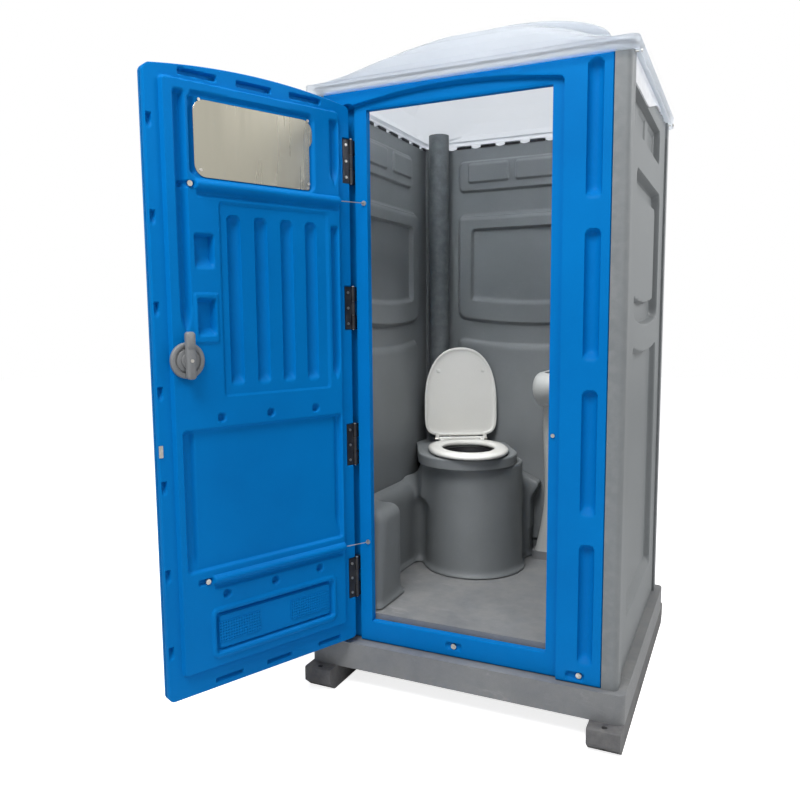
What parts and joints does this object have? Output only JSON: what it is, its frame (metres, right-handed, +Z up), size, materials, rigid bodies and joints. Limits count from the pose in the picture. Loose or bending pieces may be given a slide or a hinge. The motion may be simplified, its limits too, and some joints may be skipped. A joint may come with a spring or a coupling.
{
  "type": "portable toilet cabin",
  "caption": "Moulded plastic toilet cabin on skids with a hinged door, turn latch, seat with lid, hand basin, vent pipe and translucent domed roof.",
  "frame": {"origin": "on the ground under the middle of the cabin", "axes": "+Z up, door side towards -Y, width along X"},
  "size_m": [1.2586, 1.7122, 2.34],
  "materials": {
    "pallet_grey": "matte",
    "skid_grey": "matte",
    "wall_grey": "satin",
    "door_blue": "satin",
    "roof_white": "translucent",
    "skirt_white": "satin",
    "seat_white": "gloss",
    "basin_grey": "satin",
    "black_plastic": "matte",
    "latch_grey": "satin",
    "zinc_steel": "zinc plated",
    "tap_chrome": "polished",
    "mirror_steel": "polished",
    "indicator_green": "matte",
    "cord_black": "elastic"
  },
  "bodies": {
    "cabin": {"base_pallet": "pallet_grey", "skid_left": "skid_grey", "skid_right": "skid_grey", "skid_centre": "skid_grey", "skid_bolts": "zinc_steel", "post_front_left": "wall_grey", "post_front_right": "wall_grey", "post_rear_left": "wall_grey", "post_rear_right": "wall_grey", "left_wall": "wall_grey", "right_wall": "wall_grey", "rear_wall": "wall_grey", "roof": "roof_white", "roof_screws": "zinc_steel", "rim_skirt_left": "skirt_white", "rim_skirt_right": "skirt_white", "front_frame": "door_blue", "frame_bolts": "zinc_steel", "strike_stud": "zinc_steel", "cord_anchors": "zinc_steel", "hinge_frame_leaf_1": "black_plastic", "hinge_frame_leaf_2": "black_plastic", "hinge_frame_leaf_3": "black_plastic", "hinge_frame_leaf_4": "black_plastic", "hinge_pins": "zinc_steel", "hinge_jamb_screws": "zinc_steel", "waste_tank": "wall_grey", "seat_deck": "wall_grey", "drop_bowl": "black_plastic", "seat_hinge_block": "seat_white", "seat_hinge_pins": "zinc_steel", "vent_pipe": "wall_grey", "pipe_collar": "wall_grey", "basin": "basin_grey", "basin_pedestal": "basin_grey", "tap_body": "tap_chrome"},
    "door": {"door_inner_panel": "door_blue", "door_outer_panel": "door_blue", "mirror": "mirror_steel", "mirror_rivets": "zinc_steel", "closer_bolts": "zinc_steel", "closer_cord_upper": "cord_black", "closer_cord_lower": "cord_black", "keeper_plate": "zinc_steel", "latch_rose": "latch_grey", "indicator_housing": "black_plastic", "pull_handle": "latch_grey", "hinge_door_leaf_1": "black_plastic", "hinge_door_leaf_2": "black_plastic", "hinge_door_leaf_3": "black_plastic", "hinge_door_leaf_4": "black_plastic", "hinge_leaf_screws": "zinc_steel"},
    "latch": {"latch_handle": "latch_grey", "latch_spindle": "zinc_steel", "latch_screw": "zinc_steel", "indicator_disc": "indicator_green"},
    "seat": {"seat_ring": "seat_white", "seat_buffers": "black_plastic"},
    "lid": {"seat_lid": "seat_white"},
    "tap": {"tap_button": "tap_chrome"}
  },
  "joints": [
    {"name": "door_swing", "type": "hinge", "parent": "cabin", "child": "door", "pos_m": [-0.376, -0.49, 1.1], "axis": [0, 0, 1], "range_deg": [-5, 113.5], "deforming": ["closer_cord_upper", "closer_cord_lower"]},
    {"name": "latch_turn", "type": "hinge", "parent": "door", "child": "latch", "pos_m": [-0.62243, -1.05674, 1.199], "axis": [0.9171, -0.3987, 0], "range_deg": [0, 90]},
    {"name": "seat_lift", "type": "hinge", "parent": "cabin", "child": "seat", "pos_m": [-0.29389, 0.34159, 0.782], "axis": [-0.8829, -0.4695, 0], "range_deg": [0, 88]},
    {"name": "lid_close", "type": "hinge", "parent": "cabin", "child": "lid", "pos_m": [-0.29389, 0.34159, 0.782], "axis": [0.8829, 0.4695, 0], "range_deg": [0, 93]},
    {"name": "tap_press", "type": "slide", "parent": "cabin", "child": "tap", "axis": [0, 0, -1], "range_m": [0, 0.006], "stiffness_N_per_m": 600, "springref_m": -0.002}
  ]
}
